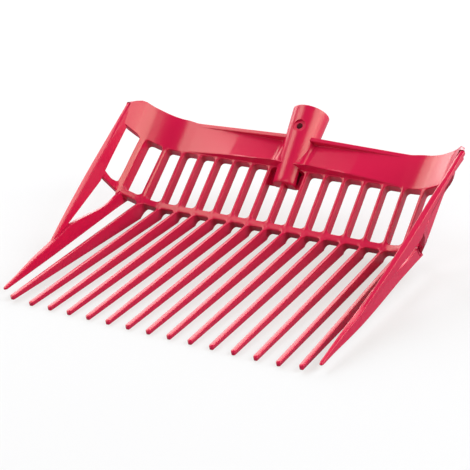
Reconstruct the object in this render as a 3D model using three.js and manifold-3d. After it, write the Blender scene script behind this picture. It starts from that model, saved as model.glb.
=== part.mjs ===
// Stable fork head: a one-piece plastic moulding, drawn as its separate members.
// Millimetres, +X to the right, +Y to the back, +Z up. The fork lies on its tines, which
// point to the front. The members that the moulding joins stand a small seam apart.
import * as THREE from 'three';
import { mergeVertices } from 'three/addons/utils/BufferGeometryUtils.js';
import Module from 'manifold-3d';

const wasm = await Module();
wasm.setup();

// General
const seam = 0.3; // gap between members that meet
const overrun = 30; // how far a cutting solid stands past what it cuts

// Floor tines
const tinePitch = 21.2;
const tineCount = 15;
const tineLength = 224;
const rootHeight = 13.8; // crest of a tine above the ground at its root
const tipHeight = 4.6;
const rootCrestWidth = 2.9;
const tipCrestWidth = 4.6;
const rootFootWidth = 2.3;
const tipFootWidth = 2.9;
const crestDrop = 1.1; // the crest is a low roof
const tipRounding = 4.2; // length of the rounded tip
const tipRoundShares = [[0, 1], [0.65, 0.78], [1, 0.34]]; // how far along it, how thick
const tineRingShares = [0.12, 0.35, 0.6, 0.85]; // rings along a tine
const outerTineRootLift = 3.4; // the outermost floor tines follow the bend of the back
const outerTineTipLift = 1.9;

// Slats and rail of the back, which leans over the tines' roots
const backLean = 39.9; // degrees from the ground
const slatWidth = 3.9;
const slatBackWidth = 3.7;
const slatRidge = 0.9; // height of the ridge along a slat's front
const backDepth = 12; // depth of the slats, the rail and the ledge
const railWidth = 7.2;
const windowHeight = 63.6;

// Back panel, its ledge below and its rim above
const panelTop = 108.8; // from the tines' roots, along the slats
const wingTopRise = 2; // the top edge is this much higher on the wings
const panelThickness = 4;
const ledgeWidth = 4.2;
const rimWidth = 4.4;
const ledgeBow = 11.6; // how far the ledge stands forward beside the socket
const ledgeNoseRise = 1.4; // its front edge above its underside, where it runs flush
const ledgeBowRise = 2; // and how much more beside the socket
const rimBow = 6.1;
const panelRecess = 4.4; // how far the face lies back below the rim beside the socket
const bowReach = 122; // where ledge, rim and panel run flush, from the middle

// Wings: the back folds forward at both ends
const foldInset = 7.6; // fold line inside the outermost floor tine, at the root
const foldLeanShare = 0.075; // outward travel of the fold line per height
const foldBlend = 14;
const wingSlopeShare = 0.8; // forward travel per outward travel on the wing
const hemReach = 22.2; // from the outermost floor tine out to where the wing bends again
const hemLeanShare = 0.075;
const hemBlend = 1.5;
const cornerCut = 13.5; // how far the top edge drops to the strut's upper end
const cornerCutReach = 6;
const wingEndDepth = 5; // depth of rail and ledge where they meet the strut
const wingRailRise = 2; // the rail's underside is this much higher there

// Struts: a sloping bar along the front edge of each wing
const strutTopOffset = 36.3; // outside the outermost floor tine
const strutTopV = 97.3; // along the slats
const strutTopN = 43.8; // forward of the slats
const strutFootOffset = 15.8;
const strutFootDrop = 101.2; // below the tines' roots, along the slats
const strutFootN = 95.3;
const strutSag = 0.6; // back from the straight line between top and foot, halfway down
const strutBulge = 0.4; // and outward
const strutTopWidth = 5.6;
const strutRailWidth = 7;
const strutFootWidth = 2.4;
const strutTopDepth = 12.5;
const strutRailDepth = 21;
const strutFootDepth = 2.4;
const strutOuterDepth = 5.4;
const strutTopLap = 1; // how far behind the strut's front the wing meets it
const strutRailLap = 16.5;
const strutBite = 0.1; // how far a wing's member would run into the strut
const strutOuterShare = 6; // power with which the outer side deepens towards the rail
const strutUpperShares = [0, 0.27, 0.54, 0.8, 1]; // rings from the top to the rail
const strutLowerShares = [0.2, 0.42, 0.67, 1]; // and on to the foot

// Wing tines: upright blades that run level with the floor tines' crests
const wingTineRootOffset = 19.4;
const wingTineTipOffset = 14.3;
const wingTineLength = 217;
const wingTineWidth = 3.9;
const wingTineTipWidth = 3.2;
const wingTineRootLift = 2.8; // underside above the crest line of the floor tines
const wingTineLift = 0.8; // and from the strut's foot to the tip
const wingTineHeight = 19.4; // at its highest, above the crest line
const wingTineRootTop = 18.2;
const wingTineSwell = 1.8; // its outer side stands out this much where the strut comes down
// Rings of the blade: how far from the root to the strut's foot, or on to the tip, then
// how much of the blade's height and of its swell.
const bladeToFootShares = [[0.19, 0.72, 0], [0.72, 1, 0.9], [1, 0.72, 1]];
const bladeToTipShares = [[0.6, 0.45, 0.5], [0.95, 0.18, 0]];
const bladeTipLowShare = 0.05;
const bladeTipTopShare = 0.13;
const bladeTipWidthShare = 0.5;

// Handle socket
const socketMouthV = 141.5;
const socketFootV = 53.6;
const socketMouthRadius = 20;
const socketFootRadius = 14.2;
const socketMouthSetback = 3.4; // axis behind the slats' front
const socketFootSetback = 8.8;
const socketBoreRadius = 17;
const socketBoreFootRadius = 13;
const socketBoreDepth = 70;
const socketFacets = 48;
const screwHoleRadius = 3.5;
const screwHoleDrop = 25.1; // below the mouth
const screwSeatRadius = 6.8;
const screwSeatDepth = 1.6;
const screwFacets = 24;
const socketFootDip = 0.7; // the tilted socket's foot stands this much lower at its front
const socketFlankX = 11.7; // flat flanks below the ledge
const webThickness = 2.4; // plates that close the gaps beside the socket's foot

// Values that follow
const degrees = Math.PI / 180;
const mix = (from, to, share) => from + (to - from) * share;
const sides = [['left', -1], ['right', 1]];
const lean = backLean * degrees;
const leanCos = Math.cos(lean);
const leanSin = Math.sin(lean);
const middle = (tineCount + 1) / 2;
const tineX = (number) => (number - middle) * tinePitch;
const outerTineX = tineX(tineCount);
const foldX = outerTineX - foldInset;
const wingSlatX = tineX(tineCount + 1);
const hemX = outerTineX + hemReach;
const windowBottom = railWidth;
const windowTop = railWidth + windowHeight;
const panelBottom = windowTop + ledgeWidth;
const panelFaceTop = panelTop - rimWidth;
const crestSlope = (rootHeight - tipHeight) / tineLength;
const screwHoleV = socketMouthV - screwHoleDrop;
const socketTilt = Math.atan2(socketFootSetback - socketMouthSetback, socketMouthV - socketFootV);
const socketHeight = Math.hypot(socketFootSetback - socketMouthSetback, socketMouthV - socketFootV);
const mouthY = socketMouthV * leanCos + socketMouthSetback * leanSin;
const backY = mouthY + socketMouthRadius * Math.sin(lean + socketTilt);
const originY = (tineLength - backY) / 2; // puts the middle of the whole fork at zero

const moulding = new THREE.MeshStandardMaterial({ color: 0xc8203f, roughness: 0.38, metalness: 0 });

// Geometry helpers

// Joins rings of the same number of points into one closed solid, with a flat cap at
// both ends. The outline of a ring may be concave.
function loft(rings) {
  const size = rings[0].length;
  const positions = rings.flat().flatMap((point) => point.toArray());
  const faces = [];
  for (let ring = 0; ring + 1 < rings.length; ring += 1) {
    for (let corner = 0; corner < size; corner += 1) {
      const a = ring * size + corner;
      const b = ring * size + ((corner + 1) % size);
      faces.push(a, b, b + size, a, b + size, a + size);
    }
  }
  const caps = THREE.ShapeUtils.triangulateShape(flatten(rings[0]), []);
  const last = (rings.length - 1) * size;
  for (const [a, b, c] of caps) {
    faces.push(a, c, b, last + a, last + b, last + c);
  }
  return facingOut(positions, faces);
}

// Turns a ring into flat outline points in its own plane, for its cap.
function flatten(ring) {
  const normal = new THREE.Vector3();
  const centre = ring.reduce((sum, point) => sum.add(point), new THREE.Vector3()).divideScalar(ring.length);
  ring.forEach((point, index) => {
    const next = ring[(index + 1) % ring.length];
    normal.add(point.clone().sub(centre).cross(next.clone().sub(centre)));
  });
  const right = ring[1].clone().sub(ring[0]).normalize();
  const up = normal.normalize().clone().cross(right);
  return ring.map((point) => new THREE.Vector2(point.dot(right), point.dot(up)));
}

// Makes an indexed geometry and turns all faces round if they point inwards.
function facingOut(positions, faces) {
  let volume = 0;
  const corner = (index) => new THREE.Vector3().fromArray(positions, index * 3);
  for (let face = 0; face < faces.length; face += 3) {
    const [a, b, c] = [0, 1, 2].map((step) => corner(faces[face + step]));
    volume += a.dot(b.cross(c));
  }
  const geometry = new THREE.BufferGeometry();
  geometry.setAttribute('position', new THREE.Float32BufferAttribute(positions, 3));
  geometry.setIndex(volume < 0 ? faces.reverse() : faces);
  return geometry;
}

function toSolid(geometry) {
  const bare = geometry.clone();
  bare.deleteAttribute('normal');
  bare.deleteAttribute('uv');
  const merged = mergeVertices(bare);
  return new wasm.Manifold(new wasm.Mesh({
    numProp: 3,
    vertProperties: new Float32Array(merged.attributes.position.array),
    triVerts: new Uint32Array(merged.index.array),
  }));
}

function toGeometry(solid) {
  const { numProp, vertProperties, triVerts } = solid.getMesh();
  const geometry = new THREE.BufferGeometry();
  const positions = new Float32Array(vertProperties.length / numProp * 3);
  for (let vertex = 0; vertex * numProp < vertProperties.length; vertex += 1) {
    for (let axis = 0; axis < 3; axis += 1) {
      positions[vertex * 3 + axis] = vertProperties[vertex * numProp + axis];
    }
  }
  geometry.setAttribute('position', new THREE.BufferAttribute(positions, 3));
  geometry.setIndex(new THREE.BufferAttribute(new Uint32Array(triVerts), 1));
  return geometry;
}

function cut(geometry, ...tools) {
  return toGeometry(tools.reduce((solid, tool) => solid.subtract(toSolid(tool)), toSolid(geometry)));
}

function mesh(name, geometry) {
  const flat = geometry.index ? geometry.toNonIndexed() : geometry;
  flat.computeVertexNormals();
  const part = new THREE.Mesh(flat, moulding.clone());
  part.name = name;
  return part;
}

// The back as a bent sheet. A point of its front face is (x, v, n): x across, v up along
// the slats from the tines' roots, n forward of the slats' front.

// A ramp that starts at zero with a rounded corner.
function ramp(distance, blend) {
  if (distance <= -blend) return 0;
  if (distance >= blend) return distance;
  return (distance + blend) ** 2 / (4 * blend);
}

function rampSlope(distance, blend) {
  return Math.min(1, Math.max(0, (distance + blend) / (2 * blend)));
}

const foldLine = (v) => foldX + foldLeanShare * v;
const hemLine = (v) => hemX + hemLeanShare * v;

// The strut's inner front line at a height: how far down the strut, across and forward.
const strutShare = (v) => (strutTopV - v) / (strutTopV + strutFootDrop);
const arch = (share) => 1 - (2 * share - 1) ** 2;
const strutFrontN = (v) => mix(strutTopN, strutFootN, strutShare(v)) - strutSag * arch(strutShare(v));

function strutInnerX(v) {
  const share = strutShare(v);
  return outerTineX + mix(strutTopOffset, strutFootOffset, share) + strutBulge * arch(share);
}

// Outside the hem the wing turns so far that it meets the strut behind its front line.
function hemSlope(v) {
  const meetX = strutInnerX(v);
  const meetN = strutFrontN(v) - mix(strutRailLap, strutTopLap, v / strutTopV);
  return (meetN - wingSlopeShare * (meetX - foldLine(v))) / (meetX - hemLine(v));
}

const foldN = (x, v) => wingSlopeShare * ramp(Math.abs(x) - foldLine(v), foldBlend);
const sheetN = (x, v) => foldN(x, v) + hemSlope(v) * ramp(Math.abs(x) - hemLine(v), hemBlend);

// What a depth square to the sheet comes to, straight back, around the fold
const foldStretch = (x, v) => Math.hypot(1, wingSlopeShare * rampSlope(Math.abs(x) - foldLine(v), foldBlend));

// How far along a place is from the hem to the strut
function endShare(x, v) {
  return Math.min(1, Math.max(0, (Math.abs(x) - hemLine(v)) / (strutInnerX(v) - hemLine(v))));
}

// A point at a depth behind the sheet's front face: straight behind it, as the windows are
// drawn from the mould that way, and swung round to the outside from the hem to the strut.
function sheetPoint(x, v, depth) {
  const share = endShare(x, v);
  return new THREE.Vector3(x + Math.sign(x) * depth * share, v, sheetN(x, v) - depth * (1 - share));
}

// A band of the sheet with the same outline all along. A corner of the outline has its
// height and its depth, both functions of x at the base height. The band's ends may
// slant: they are functions of v.
function band(ends, steps, base, corners) {
  const [from, to] = ends;
  const rings = [];
  for (let step = 0; step <= steps; step += 1) {
    const xAt = (v) => mix(from(v), to(v), step / steps);
    const baseX = xAt(base);
    rings.push(corners.map(([heightAt, depthAt]) => {
      const v = heightAt(baseX);
      return sheetPoint(xAt(v), v, depthAt(baseX, v));
    }));
  }
  return loft(rings);
}

const always = (value) => () => value;
const bowAt = (x, height) => height * Math.max(0, 1 - Math.abs(x) / bowReach);

// The ledge's front edge, and the panel's flat face from it up to the rim
const noseHeight = (x) => windowTop + ledgeNoseRise + bowAt(x, ledgeBowRise);

function faceDepth(x, v) {
  const share = (v - noseHeight(x)) / (panelFaceTop - noseHeight(x));
  return mix(-bowAt(x, ledgeBow), bowAt(x, bowAt(x, panelRecess)), share);
}

const faceBack = (x, v) => faceDepth(x, v) + panelThickness * foldStretch(x, v);

// Rail and ledge keep their full depth up to the hem and then thin out to the strut.
const wingDepth = (x, v) => mix(backDepth * foldStretch(x, v), wingEndDepth, endShare(x, v));

// Floor tines, in the ground's frame

// A ring across a tine, between a crest point and a foot point, both [y, z].
function tineRing(x, crest, foot, crestWidth, footWidth, drop) {
  const [crestY, crestZ] = crest;
  const [footY, footZ] = foot;
  const share = drop / Math.hypot(footY - crestY, footZ - crestZ);
  const shoulderY = mix(crestY, footY, share);
  const shoulderZ = mix(crestZ, footZ, share);
  return [
    new THREE.Vector3(x, crestY, crestZ),
    new THREE.Vector3(x + crestWidth / 2, shoulderY, shoulderZ),
    new THREE.Vector3(x + footWidth / 2, footY, footZ),
    new THREE.Vector3(x - footWidth / 2, footY, footZ),
    new THREE.Vector3(x - crestWidth / 2, shoulderY, shoulderZ),
  ];
}

// Ground-frame point [y, z] of a point of the leaning frame.
const fromLean = (v, n) => [v * leanCos - n * leanSin, rootHeight + v * leanSin + n * leanCos];

function floorTine(number) {
  const x = tineX(number);
  const outermost = number === 1 || number === tineCount;
  const rootLift = outermost ? outerTineRootLift : 0;
  const tipLift = outermost ? outerTineTipLift : 0;
  const rootN = outermost ? sheetN(x, 0) : 0;
  const rootBack = backDepth * foldStretch(x, 0) - rootN;
  const heelV = (rootBack * leanCos - rootHeight) / leanSin;
  const lift = (share) => mix(rootLift, tipLift, share);
  const ringAt = (share, crestShare = 1) => {
    const y = -share * tineLength;
    const crestZ = rootHeight + y * crestSlope + lift(share);
    const footZ = lift(share) * share;
    const centreZ = (crestZ + footZ) / 2;
    return tineRing(
      x,
      [y, mix(centreZ, crestZ, crestShare)],
      [y, mix(centreZ, footZ, crestShare)],
      mix(rootCrestWidth, tipCrestWidth, share) * crestShare,
      mix(rootFootWidth, tipFootWidth, share) * crestShare,
      crestDrop * crestShare,
    );
  };
  const root = tineRing(
    x, fromLean(-seam, rootN - seam), fromLean(-seam, -rootBack),
    slatWidth, rootFootWidth, crestDrop,
  );
  const [heelY] = fromLean(heelV, -rootBack);
  const neckY = heelY - rootHeight / 2;
  const neckShare = -neckY / tineLength;
  const neck = tineRing(
    x, [neckY, rootHeight + neckY * crestSlope + lift(neckShare)], [heelY, 0],
    rootCrestWidth, rootFootWidth, crestDrop,
  );
  const roundStart = 1 - tipRounding / tineLength;
  const along = tineRingShares.map((share) => ringAt(share));
  const tipEnd = tipRoundShares.map(([share, thickness]) => ringAt(mix(roundStart, 1, share), thickness));
  return loft([root, neck, ...along, ...tipEnd]);
}

// Slats, in the leaning frame

function slat(x, low, high) {
  return loft([low, high].map((v) => {
    const at = (across, depth) => new THREE.Vector3(x + across, v, foldN(x + across, v) - depth);
    const back = backDepth * foldStretch(x, v);
    return [
      at(0, 0),
      at(slatWidth / 2, slatRidge),
      at(slatBackWidth / 2, back),
      at(-slatBackWidth / 2, back),
      at(-slatWidth / 2, slatRidge),
    ];
  }));
}

// Strut, in the leaning frame. Grown by a clearance it also cuts what meets it.
function strut(side, clearance) {
  const along = new THREE.Vector3(
    strutFootOffset - strutTopOffset, -strutFootDrop - strutTopV, strutFootN - strutTopN,
  );
  along.normalize();
  const down = new THREE.Vector3(0, -along.z, along.y).normalize();
  const railShare = strutShare(0);
  const shares = [
    ...strutUpperShares.map((share) => share * railShare),
    ...strutLowerShares.map((share) => mix(railShare, 1, share)),
  ];
  const rings = shares.map((share) => {
    const v = mix(strutTopV, -strutFootDrop, share);
    const point = new THREE.Vector3(strutInnerX(v), v, strutFrontN(v));
    const upper = share / railShare;
    const lower = (share - railShare) / (1 - railShare);
    const above = share < railShare;
    const between = (top, rail, end) => (above ? mix(top, rail, upper) : mix(rail, end, lower));
    const width = between(strutTopWidth, strutRailWidth, strutFootWidth);
    const inner = between(strutTopDepth, strutRailDepth, strutFootDepth);
    const outer = above ? mix(strutOuterDepth, inner, upper ** strutOuterShare) : inner;
    const place = (across, depth) => point.clone()
      .addScaledVector(down, depth)
      .add(new THREE.Vector3(across, 0, 0))
      .multiply(new THREE.Vector3(side, 1, 1));
    return [
      place(-clearance, -clearance),
      place(width + clearance, -clearance),
      place(width + clearance, outer + 2 * clearance),
      place(-clearance, inner + 2 * clearance),
    ];
  });
  if (clearance > 0) {
    rings[0].forEach((point) => point.addScaledVector(along, -clearance));
    rings.at(-1).forEach((point) => point.addScaledVector(along, clearance));
  }
  return loft(rings);
}

// Wing tine, in the ground's frame. The profile's heights stand above the crest line.
function wingTine(side, clearance) {
  const tip = -wingTineLength;
  const foot = -strutFootDrop * leanCos - strutFootN * leanSin;
  const [rootTopY] = fromLean(-seam, 0);
  const rootBackN = wingTineRootTop / leanCos;
  const rootY = rootTopY - rootBackN * leanSin;
  const heightAt = (share) => mix(wingTineLift, wingTineHeight, share);
  const lowAt = (y) => mix(wingTineRootLift, wingTineLift, Math.min(1, (y - rootY) / (foot - rootY)));
  const widthAt = (y) => mix(wingTineWidth, wingTineTipWidth, Math.max(0, (y - foot) / (tip - foot)));
  const ring = (y, share, swell) => [y, y, heightAt(share), lowAt(y), widthAt(y), swell * wingTineSwell];
  const rootLowY = rootY + (wingTineRootTop - wingTineRootLift) * Math.tan(lean);
  const tipWidth = wingTineTipWidth * bladeTipWidthShare;
  const profile = [
    [rootY, rootLowY, wingTineRootTop, wingTineRootLift, wingTineWidth, 0],
    ...bladeToFootShares.map(([along, share, swell]) => ring(mix(rootY, foot, along), share, swell)),
    ...bladeToTipShares.map(([along, share, swell]) => ring(mix(foot, tip, along), share, swell)),
    [tip, tip, heightAt(bladeTipTopShare), heightAt(bladeTipLowShare), tipWidth, 0],
  ];
  return loft(profile.map(([topY, lowY, top, bottom, width, swell]) => {
    const share = topY / tip;
    const x = side * (outerTineX + mix(wingTineRootOffset, wingTineTipOffset, share));
    const innerX = x - side * (width / 2 + clearance);
    const outerX = x + side * (width / 2 + clearance + swell);
    const crest = rootHeight + topY * crestSlope;
    return [
      new THREE.Vector3(innerX, topY, crest + top + clearance),
      new THREE.Vector3(outerX, topY, crest + top + clearance),
      new THREE.Vector3(outerX, lowY, crest + bottom - clearance),
      new THREE.Vector3(innerX, lowY, crest + bottom - clearance),
    ];
  }));
}

// Handle socket, in the leaning frame

const socketRadiusAt = (v) => mix(socketFootRadius, socketMouthRadius, (v - socketFootV) / (socketMouthV - socketFootV));
const socketSetbackAt = (v) => mix(
  socketFootSetback, socketMouthSetback, (v - socketFootV) / (socketMouthV - socketFootV),
);

// Turns a geometry from the lathe's axis to the socket's axis.
function alongSocket(geometry) {
  return geometry.rotateX(socketTilt).translate(0, socketFootV, -socketFootSetback);
}

function lathe(outline, facets) {
  const geometry = new THREE.LatheGeometry(outline.map(([radius, height]) => new THREE.Vector2(radius, height)), facets);
  return facingOutLathe(geometry);
}

// Drops the seam and the collapsed faces at the axis of a lathe's geometry.
function facingOutLathe(geometry) {
  geometry.deleteAttribute('normal');
  geometry.deleteAttribute('uv');
  const merged = mergeVertices(geometry);
  const faces = [];
  for (let face = 0; face < merged.index.count; face += 3) {
    const [a, b, c] = [0, 1, 2].map((step) => merged.index.getX(face + step));
    if (a !== b && b !== c && c !== a) faces.push(a, b, c);
  }
  return facingOut([...merged.attributes.position.array], faces);
}

function socketShell() {
  const boreFoot = socketHeight - socketBoreDepth;
  return alongSocket(lathe([
    [0, 0],
    [socketFootRadius, 0],
    [socketMouthRadius, socketHeight],
    [socketBoreRadius, socketHeight],
    [socketBoreFootRadius, boreFoot],
    [0, boreFoot],
  ], socketFacets));
}

// The socket's outside with its clearance, as a tool that cuts the panel around it.
function socketTool() {
  const below = -overrun;
  const above = socketHeight + overrun;
  const grow = (socketMouthRadius - socketFootRadius) / socketHeight;
  return alongSocket(lathe([
    [0, below],
    [socketFootRadius + grow * below + seam, below],
    [socketFootRadius + grow * above + seam, above],
    [0, above],
  ], socketFacets));
}

// A drill from the front on the socket's middle, from a depth inside to past the front.
function drill(radius, from, to) {
  const length = to - from;
  return new THREE.CylinderGeometry(radius, radius, length, screwFacets)
    .rotateX(Math.PI / 2)
    .translate(0, screwHoleV, from + length / 2);
}

// Below the ledge the socket's back is cut off flush with the slats' backs.
function socketBackCut() {
  const run = windowTop - socketFootV;
  const rise = socketFootRadius * 2;
  const cutter = new THREE.Shape([
    new THREE.Vector2(socketFootV - overrun, -backDepth),
    new THREE.Vector2(socketFootV, -backDepth),
    new THREE.Vector2(socketFootV + run, -backDepth - run),
    new THREE.Vector2(socketFootV + run, -backDepth - rise - overrun),
    new THREE.Vector2(socketFootV - overrun, -backDepth - rise - overrun),
  ]);
  const width = socketMouthRadius * 2 + overrun;
  return new THREE.ExtrudeGeometry(cutter, { depth: width, bevelEnabled: false })
    .applyMatrix4(new THREE.Matrix4().makeBasis(
      new THREE.Vector3(0, 1, 0), new THREE.Vector3(0, 0, 1), new THREE.Vector3(1, 0, 0),
    ))
    .translate(-width / 2, 0, 0);
}

// Below the ledge its flanks are flat.
function socketFlankCut(side) {
  const width = socketMouthRadius;
  const height = windowTop - socketFootV + overrun;
  return new THREE.BoxGeometry(width, height, socketMouthRadius * 2 + overrun)
    .translate(side * (socketFlankX + width / 2), windowTop - height / 2, -socketFootSetback);
}

function handleSocket() {
  const axisN = -socketSetbackAt(screwHoleV);
  const frontN = axisN + socketRadiusAt(screwHoleV);
  return cut(
    socketShell(),
    socketBackCut(),
    socketFlankCut(-1),
    socketFlankCut(1),
    drill(screwHoleRadius, axisN, frontN + overrun),
    drill(screwSeatRadius, frontN - screwSeatDepth, frontN + overrun),
  );
}

// Plates between the socket's foot and its neighbour slats
function socketWeb(side) {
  const inner = socketFlankX + seam;
  const outer = tinePitch - slatWidth / 2 - seam;
  const low = socketFootV;
  const high = windowTop - seam;
  return new THREE.BoxGeometry(outer - inner, high - low, webThickness)
    .translate(side * (inner + outer) / 2, (low + high) / 2, -backDepth + webThickness / 2);
}

// Assembly

const fork = new THREE.Group();
fork.position.set(0, originY, 0);
const back = new THREE.Group();
back.position.set(0, 0, rootHeight);
back.rotation.x = lean;
fork.add(back);

const twoDigits = (number) => String(number).padStart(2, '0');

for (let number = 1; number <= tineCount; number += 1) {
  fork.add(mesh(`tine_${twoDigits(number)}`, floorTine(number)));
}

for (let number = 0; number <= tineCount + 1; number += 1) {
  const high = number === middle ? socketFootV - socketFootDip - seam : windowTop - seam;
  back.add(mesh(`slat_${twoDigits(number)}`, slat(tineX(number), windowBottom + seam, high)));
}

const railSplit = tineX(tineCount - 1) + tinePitch / 2;
const edgeToEdge = (lowAt, highAt, frontAt, backAt) => [
  [lowAt, frontAt], [highAt, frontAt], [highAt, backAt], [lowAt, backAt],
];

back.add(mesh('cross_rail', band(
  [always(-railSplit), always(railSplit)], 14, 0,
  edgeToEdge(always(0), always(windowBottom), always(slatRidge), always(backDepth)),
)));

for (const [name, side] of sides) {
  const strutTool = strut(side, seam);
  const bladeTool = wingTine(side, seam);
  const wingEnds = [(v) => side * (railSplit + seam), (v) => side * (strutInnerX(v) + strutBite)];
  const outward = (x) => (Math.abs(x) - wingSlatX) / (strutInnerX(0) - wingSlatX);
  const railFoot = (x) => wingRailRise * Math.max(0, outward(x));
  back.add(mesh(`wing_rail_${name}`, cut(band(
    wingEnds, 14, 0, edgeToEdge(railFoot, always(windowBottom), always(slatRidge), wingDepth),
  ), strutTool)));

  const ledge = [
    [always(windowTop), always(0)], [noseHeight, faceDepth], [always(panelBottom), faceDepth],
    [always(panelBottom), wingDepth], [always(windowTop), wingDepth],
  ];
  back.add(mesh(`wing_ledge_${name}`, cut(band(wingEnds, 14, windowTop, ledge), strutTool)));

  const topAt = (x) => {
    const drop = Math.max(0, 1 - (strutInnerX(panelBottom) - Math.abs(x)) / cornerCutReach);
    const rise = Math.min(1, (Math.abs(x) - railSplit) / foldBlend);
    return panelTop + wingTopRise * rise - cornerCut * drop ** 2;
  };
  back.add(mesh(`wing_panel_${name}`, cut(band(
    wingEnds, 14, panelBottom + seam, edgeToEdge(always(panelBottom + seam), topAt, faceDepth, faceBack),
  ), strutTool)));

  const panelEnds = [always(side * seam), always(side * railSplit)];
  back.add(mesh(`back_panel_${name}`, cut(band(
    panelEnds, 12, 0,
    edgeToEdge(always(panelBottom + seam), always(panelFaceTop - seam), faceDepth, faceBack),
  ), socketTool())));
  back.add(mesh(`top_rim_${name}`, cut(band(panelEnds, 12, 0, edgeToEdge(
    always(panelFaceTop), always(panelTop), (x) => -bowAt(x, rimBow), (x) => faceBack(x, panelFaceTop),
  )), socketTool())));
  back.add(mesh(`lower_ledge_${name}`, cut(band(panelEnds, 12, 0, ledge), socketTool())));

  back.add(mesh(`socket_web_${name}`, socketWeb(side)));
  const inBack = new THREE.Matrix4().makeTranslation(0, 0, rootHeight)
    .multiply(new THREE.Matrix4().makeRotationX(lean)).invert();
  back.add(mesh(`wing_strut_${name}`, cut(strut(side, 0), bladeTool.applyMatrix4(inBack))));
  fork.add(mesh(`wing_tine_${name}`, wingTine(side, 0)));
}

back.add(mesh('handle_socket', handleSocket()));

export default fork;
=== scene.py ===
import math
import bmesh
import bpy
import numpy as np
from mathutils import Matrix, Vector


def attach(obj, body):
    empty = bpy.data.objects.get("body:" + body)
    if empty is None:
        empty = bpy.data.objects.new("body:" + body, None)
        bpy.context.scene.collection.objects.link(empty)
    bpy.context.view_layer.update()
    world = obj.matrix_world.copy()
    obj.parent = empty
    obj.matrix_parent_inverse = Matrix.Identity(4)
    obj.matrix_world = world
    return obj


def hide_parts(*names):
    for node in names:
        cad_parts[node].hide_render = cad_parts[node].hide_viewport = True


# Stable fork head: one moulding in crimson polypropylene. Its surfaces are laid out in
# millimetres on the bent sheet of the back: x across, v up along the slats from the
# roots of the tines, and depth behind the sheet's front.
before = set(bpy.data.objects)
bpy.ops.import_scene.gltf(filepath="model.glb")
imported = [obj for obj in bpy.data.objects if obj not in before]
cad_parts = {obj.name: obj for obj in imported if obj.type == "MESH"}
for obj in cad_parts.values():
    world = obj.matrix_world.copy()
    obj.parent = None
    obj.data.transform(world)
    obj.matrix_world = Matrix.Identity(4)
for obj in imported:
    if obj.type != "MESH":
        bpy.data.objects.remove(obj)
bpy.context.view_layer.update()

fork = {
    "originY": 49.76,
    "rootHeight": 13.8,
    "tipHeight": 4.6,
    "backLean": 39.9,  # degrees from the ground
    "pitch": 21.2,
    "tines": 15,
    "tineLength": 224.0,
    "depth": 12.0,
    "railWidth": 7.2,
    "windowHeight": 63.6,
}
lean = math.radians(fork["backLean"])
leanCos = math.cos(lean)
leanSin = math.sin(lean)
middle = (fork["tines"] + 1) / 2
outerTineX = (fork["tines"] - middle) * fork["pitch"]
wingSlatX = outerTineX + fork["pitch"]
tineSlope = (fork["rootHeight"] - fork["tipHeight"]) / fork["tineLength"]
windowBottom = fork["railWidth"]
windowTop = fork["railWidth"] + fork["windowHeight"]

# The sheet of the back folds forward at the wings and once more, at a hem, to the struts.
wing = {
    "foldInset": 7.6,
    "foldLean": 0.075,
    "foldBlend": 14.0,
    "slope": 0.8,
    "hemReach": 22.2,
    "hemLean": 0.075,
    "hemBlend": 2.0,
    "hemBlendTop": 9.0,
    "endDepth": 4.7,
    "topLap": 1.0,
    "railLap": 16.5,
    "railLift": 2.4,
    "bladeFillet": 3.8,  # under the rail, where it meets the blade
    "bite": 0.6,  # how far rails and panel reach into the strut
    "windowBite": 0.3,  # how far short of that the last window's edge stays
}
strut = {
    "topReach": 36.3,
    "topV": 97.3,
    "topN": 43.8,
    "footReach": 15.8,
    "footV": -101.2,
    "footN": 95.3,
    "sag": 0.6,
    "bulge": 0.4,
    "topWidth": 5.4,
    "width": 6.0,
    "footWidth": 3.0,
    "tilt": 0.4,
    "edge": 0.8,
    "roundingV": 30.0,
    "topRounding": 4.0,
    "roundingPower": 1.5,
    "web": 3.2,
    "webLean": 1.6,
    "webBow": 1.3,
    "topDepth": 12.5,
    "railDepth": 18.1,
    "footDepth": 3.0,
    "outerDepth": 5.4,
    "outerPower": 6,
    "rimLip": 0.8,  # least width of the rim's step over the web
    "webLip": 0.6,  # least depth of the web behind the rim
    "railLip": 1.0,  # how much deeper the web is than the rim at the rail
    "steps": 12,
    "topShares": (0.0, 0.004, 0.02),  # first places along it
    "endShare": 1.015,  # last one, inside the blade
    "topShrink": 0.97,
    "footShrink": 0.7,
}
millimetre = 0.001  # in metres, which the scene is in
joinDistance = 0.02
shortEdge = 0.0001
faceWeight = 60
cornerLimit = 0.45  # most of an edge that one rounding may take
roundLimit = 0.98  # a fillet ends just before its circle stands upright


def smooth(share):
    # Three squares less two cubes: from 0 to 1 with level ends.
    return share * share * (3 - 2 * share)


def bent(distance, blend):
    # A ramp with a rounded corner: square of (distance + blend) over four blends.
    curve = (np.clip(distance, -blend, blend) + blend) ** 2 / (4 * blend)
    return curve + np.maximum(distance - blend, 0)


def bentSlope(distance, blend):
    # The slope of that ramp, from 0 to 1 over two blends.
    return np.clip((distance + blend) / (2 * blend), 0, 1)


def strutShare(v):
    # How far down the strut a height is: 0 at its top and 1 at its foot.
    return (strut["topV"] - v) / (strut["topV"] - strut["footV"])


def strutInnerX(v):
    # The strut's inner side: a straight line with a bulge of a parabola.
    share = strutShare(v)
    straight = strut["topReach"] + (strut["footReach"] - strut["topReach"]) * share
    return outerTineX + straight + strut["bulge"] * 4 * share * (1 - share)


def strutFrontN(v):
    # The strut's front line: straight, less a sag of a parabola.
    share = strutShare(v)
    straight = strut["topN"] + (strut["footN"] - strut["topN"]) * share
    return straight - strut["sag"] * 4 * share * (1 - share)


def foldLine(v):
    # The fold runs outwards a little with height.
    return outerTineX - wing["foldInset"] + wing["foldLean"] * v


def hemLine(v):
    # So does the hem, beyond it.
    return outerTineX + wing["hemReach"] + wing["hemLean"] * v


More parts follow.
